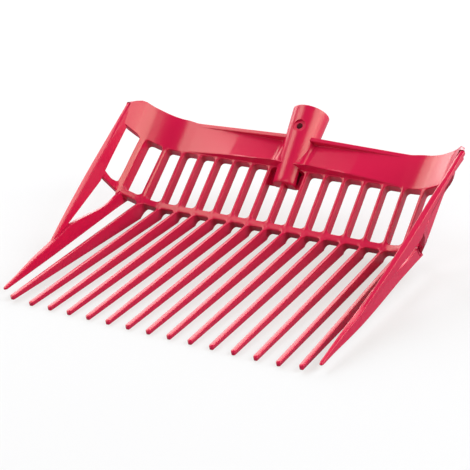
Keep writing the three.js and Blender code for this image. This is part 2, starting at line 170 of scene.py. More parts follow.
def hemBlend(v):
    # The hem is a tight bend at the rail and a wide one at the panel.
    share = np.clip((v - windowBottom) / (windowTop - windowBottom), 0, 1)
    return wing["hemBlend"] + (wing["hemBlendTop"] - wing["hemBlend"]) * smooth(share)


def hemSlope(v):
    # Chosen so that the sheet meets the strut's inner side behind its front line.
    meetX = strutInnerX(v)
    lap = wing["railLap"] + (wing["topLap"] - wing["railLap"]) * v / strut["topV"]
    meetN = strutFrontN(v) - lap
    return (meetN - wing["slope"] * (meetX - foldLine(v))) / bent(meetX - hemLine(v), hemBlend(v))


def sheetFront(x, v):
    # Forward travel of the sheet: fold and hem, added.
    side = np.abs(x)
    fold = wing["slope"] * bent(side - foldLine(v), wing["foldBlend"])
    return fold + hemSlope(v) * bent(side - hemLine(v), hemBlend(v))


def endShare(x, v):
    # How far along a place is from the hem to the strut.
    return np.clip((np.abs(x) - hemLine(v)) / (strutInnerX(v) - hemLine(v)), 0, 1)


def foldStretch(x, v):
    # What a depth square to the sheet comes to, straight back, around the fold.
    slope = wing["slope"] * bentSlope(np.abs(x) - foldLine(v), wing["foldBlend"])
    return np.sqrt(1 + slope ** 2)


def fromLean(x, v, n):
    # The leaning frame (x, v, n) to the row's: turned by the back's lean about the roots.
    y = fork["originY"] + v * leanCos - n * leanSin
    z = fork["rootHeight"] + v * leanSin + n * leanCos
    return np.stack(np.broadcast_arrays(x, y, z), -1).astype(float)


def onSheet(x, v, depth):
    # The point at a depth behind the sheet's front. Depth runs straight back, also on
    # the wings, as the windows are drawn from the mould that way, and swings round to
    # the outside from the hem to the strut.
    x, v, depth = np.broadcast_arrays(np.asarray(x, float), v, depth)
    share = endShare(x, v)
    return fromLean(x + np.sign(x) * depth * share, v, sheetFront(x, v) - depth * (1 - share))


def backDepth(x, v):
    # Full depth up to the hem, then thinner out to the strut.
    full = fork["depth"] * foldStretch(x, v)
    return full + (wing["endDepth"] - full) * endShare(x, v)


def unit(vectors):
    # Each vector over its length, with a hair added so that none is divided by zero.
    return vectors / (np.linalg.norm(vectors, axis=-1, keepdims=True) + 1e-9)


def cornerRows(before, corner, after, radius, steps=3):
    # A rounded corner as a quadratic curve: it leaves the edge one radius before the
    # corner and joins the next edge one radius after it.
    radius = np.asarray(radius, float)[..., None]
    reach = np.minimum(radius, cornerLimit * np.linalg.norm(before - corner, axis=-1, keepdims=True))
    start = corner + reach * unit(before - corner)
    reach = np.minimum(radius, cornerLimit * np.linalg.norm(after - corner, axis=-1, keepdims=True))
    end = corner + reach * unit(after - corner)
    rows = []
    for t in np.linspace(0, 1, steps + 1):
        rows.append((1 - t) ** 2 * start + 2 * t * (1 - t) * corner + t ** 2 * end)
    return rows


def gridFaces(rows, columns, closed, offset=0):
    # Quads between neighbouring rows and columns of points.
    i, j = np.meshgrid(np.arange(rows - 1), np.arange(columns if closed else columns - 1), indexing="ij")
    k = (j + 1) % columns
    quads = np.stack([i * columns + j, i * columns + k, (i + 1) * columns + k, (i + 1) * columns + j], -1)
    return quads.reshape(-1, 4) + offset


class Surface:
    # Collects grids of points, and makes one mesh of them with shared borders joined.
    def __init__(self):
        self.points = []
        self.quads = []
        self.count = 0

    def add(self, rows, closed=False):
        rows = np.asarray(rows, float)
        self.quads.append(gridFaces(rows.shape[0], rows.shape[1], closed, self.count))
        self.points.append(rows.reshape(-1, 3))
        self.count += rows.shape[0] * rows.shape[1]

    def make(self, name):
        points = np.concatenate(self.points) * millimetre
        mesh = bpy.data.meshes.new(name)
        mesh.from_pydata(points, [], np.concatenate(self.quads).tolist())
        work = bmesh.new()
        work.from_mesh(mesh)
        bmesh.ops.remove_doubles(work, verts=work.verts, dist=joinDistance * millimetre)
        bmesh.ops.dissolve_degenerate(work, edges=work.edges, dist=shortEdge * millimetre)
        bmesh.ops.recalc_face_normals(work, faces=work.faces)
        work.to_mesh(mesh)
        work.free()
        mesh.shade_smooth()
        piece = bpy.data.objects.new(name, mesh)
        bpy.context.scene.collection.objects.link(piece)
        weighted = piece.modifiers.new("flat faces stay flat", "WEIGHTED_NORMAL")
        weighted.keep_sharp = False
        weighted.weight = faceWeight
        return piece


def closedLoft(rings, name):
    # A solid through closed rings of points, its ends drawn in to their middles.
    rings = np.asarray(rings, float)
    first = np.repeat(rings[0].mean(0)[None, None], rings.shape[1], 1)
    last = np.repeat(rings[-1].mean(0)[None, None], rings.shape[1], 1)
    solid = Surface()
    solid.add(np.concatenate([first, rings, last]), closed=True)
    return solid.make(name)


def roundedSection(corners, radii):
    # A closed outline, given for many places at once, with its corners rounded.
    rows = []
    for k, radius in enumerate(radii):
        before = corners[k - 1]
        after = corners[(k + 1) % len(corners)]
        rows += cornerRows(before, corners[k], after, np.broadcast_to(radius, corners[k].shape[:-1]))
    return np.stack(rows, 1)


def beamRows(ridge, front, back, heart, edge):
    # Half the section of a slat, rail or tine, for many places at once: from its
    # ridge over the front edge, down its side and round the back edge to its middle.
    first = cornerRows(ridge, front, back, edge)
    last = cornerRows(front, back, heart, edge)
    return [
        ridge, (ridge + first[0]) / 2, *first,
        (first[-1] + last[0]) / 2, *last,
        (last[-1] + heart) / 2, heart,
    ]


# Windows of the back: each is a ring around its hole, from the middle lines of its two
# slats and of the rail to the hole's edge, through the hole, and back on the far side.
slat = {
    "width": 3.9,
    "backWidth": 3.7,
    "ridge": 0.9,
    "lip": 0.2,  # drop of the front edge on rail and ledge
    "fillet": 4.4,
    "strutFillet": 6.0,
    "strutTopFillet": 2.4,
    "joint": 3.6,
    "ledgeJoint": 1.0,
    "edge": 0.45,
    "railEdge": 1.3,
    "sideSteps": 8,
}
jointV = slat["joint"]
ledgeV = windowTop + slat["ledgeJoint"]
halfSlat = slat["width"] / 2
leg = halfSlat + slat["fillet"]  # from a slat's middle line to the end of its fillet
legSteps = 3
acrossSteps = 3
angles = np.linspace(0, math.pi / 2, 2 * legSteps + 1)


def tineX(number):
    # Tines stand one pitch apart, the middle one at zero.
    return (number - middle) * fork["pitch"]


def slatLine(number):
    # A slat stands over its tine, and the two on the wings one pitch further out.
    x = tineX(number)
    return lambda v: x + 0 * v


def strutLine(side):
    # A line just within the strut, past its inner side.
    return lambda v: side * (strutInnerX(v) + wing["bite"])


def windowCorner(line, toward, half, level, up, outerLevel, radius):
    # A quarter circle of the hole's edge, and the outer path that goes with it: up
    # the slat's middle line and then along the rail or ledge.
    innerV = level - up * radius * (1 - np.sin(angles))
    innerX = line(innerV) + toward * (half + radius * (1 - np.cos(angles)))
    outerV = np.full_like(angles, outerLevel)
    outerV[: legSteps + 1] = np.linspace(level - up * slat["fillet"], outerLevel, legSteps + 1)
    outerX = line(outerV)
    outerX[legSteps:] += toward * np.linspace(0, leg, legSteps + 1)
    return innerX, innerV, outerX, outerV


def windowContour(left, right, halfLeft, halfRight, bottom, top, radii):
    # Points around the hole and around the ring's outside, clockwise from low left.
    bottomLeft = windowCorner(left, 1, halfLeft, bottom, -1, jointV, radii[0])
    topLeft = windowCorner(left, 1, halfLeft, top, 1, ledgeV, radii[1])
    bottomRight = windowCorner(right, -1, halfRight, bottom, -1, jointV, radii[3])
    topRight = windowCorner(right, -1, halfRight, top, 1, ledgeV, radii[2])

    def between(one, two, steps):
        share = np.linspace(0, 1, steps + 1)[1:-1]
        return [p[-1] + (q[0] - p[-1]) * share for p, q in zip(one, two)]

    def turned(part):
        return tuple(p[::-1] for p in part)

    loop = [
        turned(bottomLeft), between(turned(bottomLeft), topLeft, slat["sideSteps"]),
        topLeft, between(topLeft, turned(topRight), acrossSteps),
        turned(topRight), between(turned(topRight), bottomRight, slat["sideSteps"]),
        bottomRight, between(bottomRight, turned(bottomLeft), acrossSteps),
    ]
    return [np.concatenate([part[k] for part in loop]) for k in range(4)]


def windowRing(left, right, halfLeft, halfRight, radii):
    # The ring's section is a slat's at its sides and the rail's or ledge's at its ends,
    # and a sine leads from one to the other round the corners.
    draft = (slat["width"] - slat["backWidth"]) / 2
    innerX, innerV, outerX, outerV = windowContour(
        left, right, halfLeft, halfRight, windowBottom, windowTop, radii,
    )
    fromBottom = np.clip((innerV - windowBottom) / slat["fillet"], 0, 1)
    fromTop = np.clip((windowTop - innerV) / slat["fillet"], 0, 1)
    onSlat = np.sin(fromBottom * fromTop * math.pi / 2)
    backX, backV, _, _ = windowContour(
        left, right, halfLeft - draft, halfRight - draft, windowBottom - draft, windowTop + draft, radii,
    )
    ridge = onSheet(outerX, outerV, 0)
    front = onSheet(innerX, innerV, slat["lip"] + (slat["ridge"] - slat["lip"]) * onSlat)
    back = onSheet(backX, backV, backDepth(backX, backV))
    heart = onSheet(outerX, outerV, backDepth(outerX, outerV))
    edge = slat["railEdge"] + (slat["edge"] - slat["railEdge"]) * onSlat
    return beamRows(ridge, front, back, heart, edge)


body = Surface()
cornerRadii = [slat["fillet"]] * 4
for number in range(0, fork["tines"] + 1):
    body.add(windowRing(slatLine(number), slatLine(number + 1), halfSlat, halfSlat, cornerRadii), closed=True)
strutRadii = [slat["strutFillet"], slat["strutTopFillet"], slat["fillet"], slat["fillet"]]
body.add(windowRing(strutLine(-1), slatLine(0), wing["windowBite"], halfSlat, strutRadii), closed=True)
body.add(windowRing(
    slatLine(fork["tines"] + 1), strutLine(1), halfSlat, wing["windowBite"], strutRadii[::-1],
), closed=True)
print("windows", body.count)

# Floor tines: each gap between two tines is a strip that comes up along one tine, turns
# round the gap's inner end under the rail, and runs down the next one.
tine = {
    "rootWidth": 2.9,
    "tipWidth": 4.6,
    "rootFoot": 2.3,
    "tipFoot": 2.9,
    "ridge": 0.3,
    "lip": 0.15,  # drop of the rail's lower front edge
    "fillet": 4.2,
    "edge": 0.45,
    "outerTipLift": 1.9,
    "tipRound": 3.0,
    "tipPower": 2.6,
    "tipSteps": 5,
    "stations": 16,
    "heartShares": (0.6, 0.2),
}


def heelV(x):
    # Where the sheet's back meets the ground.
    n = sheetFront(x, 0 * x) - fork["depth"] * foldStretch(x, 0 * x)
    return -(fork["rootHeight"] + n * leanCos) / leanSin


def tineFlank(number, toward):
    # Section points of one side of a tine, from its tip to where the fillet begins.
    # Crest and foot are straight lines, and the section closes on the tip's middle in
    # a squarish round, a superellipse over the last millimetres.
    x = tineX(number)
    lift = tine["outerTipLift"] if number in (1, fork["tines"]) else 0.0
    root = onSheet(np.array([x]), np.array([0.0]), np.array([0.0]))[0]
    tipY = fork["originY"] - fork["tineLength"]
    tip = np.array([x, tipY, fork["tipHeight"] + lift])
    heel = onSheet(np.array([x]), heelV(np.array([x])), fork["depth"] * foldStretch(x, 0.0))[0]
    startShare = tine["fillet"] / (root[1] - tipY)
    roundShare = tine["tipRound"] / (root[1] - tipY)
    steps = np.linspace(0, 1, tine["tipSteps"] + 1)[:0:-1]
    share = np.concatenate([
        1 - roundShare + steps * roundShare,
        np.linspace(1 - roundShare, startShare, tine["stations"]),
    ])
    size = np.ones_like(share)
    size[: len(steps)] = (1 - steps ** tine["tipPower"]) ** (1 / tine["tipPower"])
    crest = root + (tip - root) * share[:, None]
    footShare = (share - startShare) / (1 - startShare)
    heelFoot = np.array([heel[0], heel[1], 0.0])
    foot = heelFoot + (np.array([x, tipY, lift]) - heelFoot) * footShare[:, None]
    crestHalf = (tine["rootWidth"] + (tine["tipWidth"] - tine["rootWidth"]) * share) / 2
    footHalf = (tine["rootFoot"] + (tine["tipFoot"] - tine["rootFoot"]) * share) / 2
    across = np.array([toward, 0, 0])
    shoulder = crest + crestHalf[:, None] * across - np.array([0, 0, tine["ridge"]])
    lower = foot + footHalf[:, None] * across
    centre = (crest + foot) / 2
    parts = [centre + (p - centre) * size[:, None] for p in (crest, shoulder, lower, foot)]
    return parts, size * tine["edge"]


def tineRootCorner(number, toward):
    # The quarter circle under the rail: in front on the tine's crest, at the back on
    # the sheet's back, from the heel up to the rail.
    x = tineX(number)
    radius = tine["fillet"]
    turn = angles[1:]
    frontX = x + toward * (tine["rootWidth"] / 2 + radius * (1 - np.cos(turn)))
    drop = -radius * (1 - np.sin(turn))
    front = onSheet(frontX, 0 * frontX, 0) + np.stack([0 * drop, drop, tineSlope * drop], -1)
    ridgeDrop = tine["ridge"] * np.cos(turn) ** 2 + tine["lip"]
    into = unit(np.stack([0 * drop, leanSin * np.sin(turn), -1 + 0 * drop], -1))
    front = front + into * ridgeDrop[:, None]
    backX = x + toward * (tine["rootFoot"] / 2 + radius * (1 - np.cos(turn)))
    heel = heelV(np.array([float(x)]))[0]
    backV = heel * (1 - np.sin(turn))
    rootDepth = fork["depth"] * foldStretch(x, 0.0)
    back = onSheet(backX, backV, rootDepth + (backDepth(backX, 0.0) - rootDepth) * np.sin(turn))
    outerX = np.full_like(turn, float(x))
    outerX[legSteps - 1:] += toward * np.linspace(0, leg, legSteps + 1)
    outerV = np.full_like(turn, jointV)
    outerV[:2] = 0.0
    ridge = onSheet(outerX, outerV, 0)
    ridge[0] += np.array([0, -radius / 2, -tineSlope * radius / 2])
    heartV = np.full_like(turn, jointV)
    heartV[:2] = heel * np.array(tine["heartShares"])
    heart = onSheet(outerX, heartV, backDepth(outerX, np.maximum(heartV, 0)))
    edge = tine["edge"] + (slat["railEdge"] - tine["edge"]) * np.sin(turn)
    return [ridge, front, back, heart], edge


def railBeam(ridgeX, lowX, lowV, depthV):
    # The rail's lower half: ridge and heart at the joint's height, and its underside.
    keys = [
        onSheet(ridgeX, jointV, 0),
        onSheet(lowX, lowV, tine["lip"]),
        onSheet(lowX, lowV, backDepth(lowX, depthV)),
        onSheet(ridgeX, jointV, backDepth(ridgeX, jointV)),
    ]
    return keys, np.full_like(ridgeX, slat["railEdge"])


def placesBetween(start, end):
    # The places across that lie between the ends of two fillets.
    return start + (end - start) * np.linspace(0, 1, acrossSteps + 1)[1:-1]


def joinColumns(parts):
    # One strip of the beam's section from the columns of several parts.
    keys = [np.concatenate([part[0][k] for part in parts]) for k in range(4)]
    return beamRows(*keys, np.concatenate([part[1] for part in parts]))


def backwards(part):
    # The same columns in the opposite order.
    return [p[::-1] for p in part[0]], part[1][::-1]


for number in range(1, fork["tines"]):
    gap = placesBetween(tineX(number) + leg, tineX(number + 1) - leg)
    body.add(joinColumns([
        tineFlank(number, 1), tineRootCorner(number, 1), railBeam(gap, gap, 0 * gap, 0.0),
        backwards(tineRootCorner(number + 1, -1)), backwards(tineFlank(number + 1, -1)),
    ]))
print("tines", body.count)

# Sizes of the handle socket, which the panel needs too where it meets the tube.
socket = {
    "mouthV": 141.5,
    "mouthN": -3.4,
    "mouthRadius": 20.0,
    "footV": 53.6,
    "footN": -8.8,
    "footRadius": 14.2,
    "boreRadius": 17.0,
    "boreFootRadius": 13.0,
    "boreDepth": 70.0,
    "boreChamfer": 1.0,
    "flankX": 11.9,
    "flankBlend": 3.0,
    "backLift": 2.0,
    "backSlope": 0.95,
    "edge": 0.9,
    "footEdge": 1.6,
    "footRingShare": 0.6,
    "columns": 120,
    "wallRows": 40,
    "boreRows": 16,
    "edgeRows": 5,
    "edgeClear": 1.5,  # where the straight rows start, in edge radii
    "screwV": 116.4,
    "screwRadius": 3.5,
    "seatRadius": 6.8,
    "seatDepth": 1.6,
    "drillOverrun": 10.0,
    "drillFaces": 64,
    "sharpAngle": 38.0,
    "boreShadeWall": 2.2,  # how far inside the tube's skin a face counts as the bore's
    "boreShadeFootGap": 5.0,
    "boreShadeMouthGap": 2.0,
}


def tubeShare(v):
    # How far up the tube a height is: 0 at its foot and 1 at its mouth.
    return (v - socket["footV"]) / (socket["mouthV"] - socket["footV"])


def tubeAxisN(v):
    # The axis leans forward a little towards the mouth.
    return socket["footN"] + (socket["mouthN"] - socket["footN"]) * tubeShare(v)


def tubeRadius(v):
    # The outside widens evenly towards the mouth.
    return socket["footRadius"] + (socket["mouthRadius"] - socket["footRadius"]) * tubeShare(v)


def boreRadius(down):
    # The bore narrows evenly from the mouth, over its depth.
    taper = (socket["boreRadius"] - socket["boreFootRadius"]) / socket["boreDepth"]
    return socket["boreRadius"] - taper * down


def tubeWallX(v, n):
    # How far out the middle of the tube's wall is: the side of a right triangle whose
    # longest side is the wall's radius and whose other side is the way to the axis.
    wallRadius = (tubeRadius(v) + boreRadius(socket["mouthV"] - v)) / 2
    return np.sqrt(np.maximum(wallRadius ** 2 - (n - tubeAxisN(v)) ** 2, 0))


# Ledge, panel and rim of the back in one sweep. Their profile changes across: beside
# the socket the ledge and the rim stand forward and the panel's top lies back.
panel = {
    "top": 108.8,
    "wingTop": 110.8,
    "riseStart": 122.0,
    "riseReach": 16.0,
    "rimWidth": 4.4,
    "rimBow": 6.1,
    "rimReach": 118.0,
    "ledgeWidth": 4.9,
    "ledgeBow": 11.6,
    "ledgeRise": 2.4,
    "ledgeReach": 122.0,
    "noseLift": 0.6,
    "nose": 1.5,
    "socketReach": 21.0,
    "socketDrop": 0.9,
    "socketBack": 5.0,
    "shelfDepth": 9.5,
    "shelfReach": 70.0,
    "shelfRise": 1.6,
    "filletX": 20.5,
    "filletRadius": 4.5,
    "recess": 4.4,
    "thickness": 4.0,
    "endThickness": 4.6,
    "edge": 0.9,
    "hollow": 1.2,
    "edgeSteps": 4,
    "cornerReach": 6.5,
    "cornerDrop": 13.5,
}


def panelColumns():
    # Places across at which the sweep's columns stand, from the middle to the wing
    # slat: those of the rings' tops.
    lines = [slatLine(k)(0.0) for k in range(int(middle), fork["tines"] + 2)]
    columns = []
    for one, two in zip(lines[:-1], lines[1:]):
        columns.append(np.linspace(one, one + leg, legSteps + 1)[:-1])
        columns.append(np.linspace(one + leg, two - leg, acrossSteps + 1)[:-1])
        columns.append(np.linspace(two - leg, two, legSteps + 1)[:-1])
    return np.append(np.concatenate(columns), lines[-1])


def wingColumns(end):
    # The same for the last window, from the wing slat's middle line to the strut.
    return np.concatenate([
        np.linspace(wingSlatX, wingSlatX + leg, legSteps + 1)[:-1],
        np.linspace(wingSlatX + leg, end - leg, acrossSteps + 1)[:-1],
        np.linspace(end - leg, end, legSteps + 1),
    ])


def slantedX(v, share):
    # A share of the way from the wing slat to the strut, at any height.
    return wingSlatX + (strutInnerX(v) + wing["bite"] - wingSlatX) * share


def panelTopAt(x):
    # The top rises to the wings in a smooth step and falls to the struts in a parabola.
    rise = smooth(np.clip((np.abs(x) - panel["riseStart"]) / panel["riseReach"], 0, 1))
    # The corner is measured at the ledge: past it the columns slant out with the strut.
    toCorner = strutInnerX(ledgeV) + wing["bite"] - np.abs(x)
    drop = np.clip(1 - toCorner / panel["cornerReach"], 0, 1)
    return panel["top"] + (panel["wingTop"] - panel["top"]) * rise - panel["cornerDrop"] * drop ** 2


def panelProfile(x):
    # Corners of the profile, each a height and a distance forward, and their radii.
    # What stands forward at the socket dies out in straight lines across.
    side = np.abs(x)
    ledgeShare = np.clip(1 - side / panel["ledgeReach"], 0, 1)
    rimShare = np.clip(1 - side / panel["rimReach"], 0, 1)
    top = panelTopAt(x)
    # Close to the socket the nose falls back and down, so that the tube stands proud.
    nearSocket = np.clip(1 - side / panel["socketReach"], 0, 1)
    noseBack = panel["socketBack"] * nearSocket
    noseV = ledgeV + panel["noseLift"] + panel["ledgeRise"] * ledgeShare - panel["socketDrop"] * nearSocket
    noseP = panel["ledgeBow"] * ledgeShare - noseBack
    # Behind the nose the panel's face steps back, and a fillet brings it to the tube.
    inward = np.clip(panel["filletX"] - side, 0, roundLimit * panel["filletRadius"])
    fillet = panel["filletRadius"] - np.sqrt(panel["filletRadius"] ** 2 - inward ** 2)
    shelf = panel["shelfDepth"] * np.clip(1 - side / panel["shelfReach"], 0, 1)
    recess = panel["recess"] * ledgeShare ** 2 - fillet
    shelfP = noseP - np.maximum(shelf - fillet - noseBack, 0)
    rimV = top - panel["rimWidth"]
    rimP = panel["rimBow"] * rimShare
    ledgeTop = windowTop + panel["ledgeWidth"]
    backShare = (ledgeTop - noseV) / (rimV - noseV)
    wall = panel["thickness"] * foldStretch(x, ledgeTop)
    wall = wall + (panel["endThickness"] - wall) * endShare(x, ledgeV)
    backP = shelfP - (shelfP + recess) * backShare - wall
    zero = np.zeros_like(x)
    edge = panel["edge"]
    corners = [
        (ledgeV + zero, zero, 0),
        (noseV, noseP, panel["nose"]),
        (noseV + panel["shelfRise"], shelfP, panel["hollow"]),
        (rimV, -recess, edge),
        (rimV, rimP, edge),
        (top, rimP, edge),
        (top, -recess - wall, edge),
        (ledgeTop + zero, backP, panel["hollow"]),
        (ledgeTop + zero, -backDepth(x, ledgeV), slat["railEdge"]),
        (ledgeV + zero, -backDepth(x, ledgeV), 0),
    ]
    return corners


def panelSweep(columnsAt, atLedge, side):
    # Each corner of the profile is put on the sheet at its own height, as the wing's
    # last columns slant outwards with the strut. What would stand in the socket's bore
    # is pushed out into the tube's wall. Only the first and last rows, which join the
    # windows below the bore, stay where they are.
    corners = panelProfile(atLedge)
    points = [onSheet(columnsAt(ledgeV), ledgeV, 0)]
    for v, forward, radius in corners:
        points.append(onSheet(side * np.maximum(np.abs(columnsAt(v)), tubeWallX(v, forward)), v, -forward))
    points.append(onSheet(columnsAt(ledgeV), ledgeV, -corners[-1][1]))
    rows = [points[0]]
    for k, (_, _, radius) in enumerate(corners, 1):
        radii = np.full(len(atLedge), radius)
        rounded = cornerRows(points[k - 1], points[k], points[k + 1], radii, panel["edgeSteps"])
        rows.append((rows[-1] + rounded[0]) / 2)
        rows += rounded
    rows.append(points[-1])
    return rows


halfColumns = panelColumns()
ledgeEnd = strutLine(1)(ledgeV)
wingAtLedge = wingColumns(ledgeEnd)
wingShares = (wingAtLedge - wingSlatX) / (ledgeEnd - wingSlatX)
for side in (-1, 1):
    body.add(panelSweep(lambda v: side * halfColumns, side * halfColumns, side))
    body.add(panelSweep(lambda v: side * slantedX(v, wingShares), side * wingAtLedge, side))
print("panel", body.count)


# Wing rails: what is left of the rail's lower half, at both sides.
def wingRail(side):
    # Two strips run from the outermost floor tine to the blade and on to the strut. The
    # first one ends in a fillet of a circle that runs down the blade's inner side.
    number = 1 if side < 0 else fork["tines"]
    x = side * np.concatenate([
        placesBetween(outerTineX + leg, wingSlatX - leg),
        np.linspace(wingSlatX - leg, wingSlatX, legSteps + 1),
    ])
    turn = np.clip((np.abs(x) - (wingSlatX - leg)) / (leg - halfSlat), 0, 1)
    low = -wing["bladeFillet"] * (1 - np.sqrt(1 - roundLimit * turn ** 2))
    inner = [tineFlank(number, side), tineRootCorner(number, side), railBeam(x, x, low, 0.0)]
    end = strutLine(1)(jointV)
    outward = wingColumns(end)
    share = (outward - wingSlatX) / (end - wingSlatX)
    lift = wing["railLift"] * share
    outer = [railBeam(side * outward, side * slantedX(lift, share), lift, lift)]
    for strip in (inner, outer):
        if side < 0:
            strip = [backwards(part) for part in strip[::-1]]
        body.add(joinColumns(strip))


wingRail(-1)
wingRail(1)
grid = body.make("slatted_back_and_tines")
print("wing rails", len(grid.data.vertices), len(grid.data.polygons))


def strutPiece(side, name):
    # The bar's section is a flat rim that stands out to the side over a thinner web.
    # Its sizes go in powers of the way down to the rail and on to the foot.
    railShare = strutShare(0.0)
    first, second, third = strut["topShares"]
    t = np.concatenate([
        [first, second],
        np.linspace(third, railShare, strut["steps"]),
        np.linspace(railShare, 1.0, strut["steps"])[1:],
        [strut["endShare"]],
    ])
    v = strut["topV"] + (strut["footV"] - strut["topV"]) * t
    along = unit(np.array([
        strut["footReach"] - strut["topReach"],
        strut["footV"] - strut["topV"],
        strut["footN"] - strut["topN"],
    ]))
    down = unit(np.array([0, -along[2], along[1]]))
    place = np.stack([strutInnerX(v), v, strutFrontN(v)], -1)
    upper = np.clip(t / railShare, 0, 1)
    lower = np.clip((t - railShare) / (1 - railShare), 0, 1)
    width = strut["topWidth"] + (strut["width"] - strut["topWidth"]) * upper
    width = width + (strut["footWidth"] - strut["width"]) * lower ** 2
    tilt = strut["tilt"] * upper * (1 - lower)
    inner = strut["topDepth"] + (strut["railDepth"] - strut["topDepth"]) * upper ** 3
    inner = inner + (strut["footDepth"] - strut["railDepth"]) * lower
    atRail = strut["railDepth"] - strut["railLip"]
    outer = strut["outerDepth"] + (atRail - strut["outerDepth"]) * upper ** strut["outerPower"]
    outer = np.minimum(inner - strut["webLip"], outer)
    webWidth = np.minimum(strut["web"], width - strut["rimLip"])
    # The web leans inward with its depth, most of all at half the strut's height.
    webLean = strut["webLean"] * upper * (1 - lower) + strut["webBow"] * 4 * upper * (1 - upper)

    def at(across, depth):
        point = place + depth[:, None] * down + across[:, None] * np.array([1.0, 0, 0])
        return fromLean(side * point[:, 0], point[:, 1], point[:, 2])

    zero = np.zeros_like(t)
    corners = [
        at(zero, zero), at(width, -tilt), at(width, outer),
        at(webWidth - webLean * outer / inner, outer), at(webWidth - webLean, inner), at(-webLean, inner),
    ]
    edge = strut["edge"] * np.ones_like(t)
    swell = np.clip((v - strut["roundingV"]) / (windowTop - strut["roundingV"]), 0, 1)
    frontEdge = edge + (strut["topRounding"] - strut["edge"]) * swell ** strut["roundingPower"]
    rings = roundedSection(corners, [frontEdge] + [edge] * 5)
    middles = rings.mean(1, keepdims=True)
    shrink = np.ones_like(t)
    shrink[0] = strut["topShrink"]
    shrink[-1] = strut["footShrink"]
    rings = middles + (rings - middles) * shrink[:, None, None]
    return closedLoft(rings, name)


# Wing tines: upright blades, whose top edge is given in pairs of the distance
# forward of the root and the height above the line of the floor tines' crests.
blade = {
    "rootReach": 19.2,
    "tipReach": 14.2,
    "length": 217.0,
    "width": 3.9,
    "tipWidth": 3.4,
    "rootLift": 2.8,
    "lift": 0.8,
    "swell": 1.8,
    "swellPower": 1.5,
    "swellRear": 85.0,
    "swellFront": 60.0,
    "rootLean": 12.0,
    "edge": 1.0,
    "edgeShare": 0.7,
    "bodyEnd": 206.0,
    "bodyStations": 40,
    "tipStart": 208.0,
    "tipStations": 8,
    "tipRound": 5.0,
    "tipPower": 2.4,
    "tipShare": 0.04,
    "top": [
        (12.0, 18.0), (25.0, 15.8), (38.6, 14.1), (57.0, 15.0), (77.0, 17.4), (105.0, 19.7),
        (125.0, 17.0), (139.0, 14.6), (170.0, 11.1), (200.0, 6.2), (217.0, 3.6),
    ],
}


def smoothPath(knotX, knotY, x):
    # A smooth line through given points: cubic pieces whose slope at a point is
    # the mean of the slopes on both sides.
    slopes = np.diff(knotY) / np.diff(knotX)
    tangent = np.concatenate([[slopes[0]], (slopes[1:] + slopes[:-1]) / 2, [slopes[-1]]])
    k = np.clip(np.searchsorted(knotX, x) - 1, 0, len(knotX) - 2)
    width = knotX[k + 1] - knotX[k]
    t = (x - knotX[k]) / width
    start = (1 + 2 * t) * (1 - t) ** 2 * knotY[k] + t * (1 - t) ** 2 * width * tangent[k]
    return start + t ** 2 * (3 - 2 * t) * knotY[k + 1] + t ** 2 * (t - 1) * width * tangent[k + 1]


def bladePiece(side, name):
    # An upright plate whose top edge dips behind the strut and falls to the tip, where
    # its section closes in a superellipse.
    knots = np.array(blade["top"])
    distance = np.concatenate([
        np.linspace(knots[0, 0], blade["bodyEnd"], blade["bodyStations"]),
        np.linspace(blade["tipStart"], blade["length"], blade["tipStations"]),
    ])
    height = smoothPath(knots[:, 0], knots[:, 1], distance)
    share = distance / blade["length"]
    x = outerTineX + blade["rootReach"] + (blade["tipReach"] - blade["rootReach"]) * share
    y = fork["originY"] - distance
    half = (blade["width"] + (blade["tipWidth"] - blade["width"]) * share) / 2
    toTip = np.clip((blade["length"] - distance) / blade["tipRound"], 0, 1)
    size = np.sqrt(1 - (1 - toTip) ** blade["tipPower"]) * (1 - blade["tipShare"]) + blade["tipShare"]
    crest = fork["rootHeight"] - tineSlope * distance
    top = crest + height
    strutFoot = -(strut["footV"] * leanCos - strut["footN"] * leanSin)
    toFoot = np.clip(distance / strutFoot, 0, 1)
    low = crest + blade["rootLift"] + (blade["lift"] - blade["rootLift"]) * toFoot
    # The root end leans back with the rail that it hangs from.
    nearRoot = np.clip(1 - (distance - knots[0, 0]) / blade["rootLean"], 0, 1)
    leanBack = nearRoot * (top - low) * math.tan(lean)

    def at(across, level, back):
        z = (top + low) / 2 + (level - (top + low) / 2) * size
        return np.stack([side * (x + across * size), y + back, z], -1)

    zero = np.zeros_like(distance)
    edge = np.minimum(blade["edge"], half * blade["edgeShare"])
    # The outer side swells to meet the strut's foot.
    away = (distance - strutFoot) / np.where(distance < strutFoot, blade["swellRear"], blade["swellFront"])
    outer = half + blade["swell"] * np.clip(1 - away ** 2, 0, 1) ** blade["swellPower"]
    corners = [at(-half, top, zero), at(outer, top, zero), at(outer, low, leanBack), at(-half, low, leanBack)]
    return closedLoft(roundedSection(corners, [edge] * 4), name)


struts = [strutPiece(-1, "wing_strut_bar_left"), strutPiece(1, "wing_strut_bar_right")]
blades = [bladePiece(-1, "wing_blade_left"), bladePiece(1, "wing_blade_right")]
print("struts and wing tines")


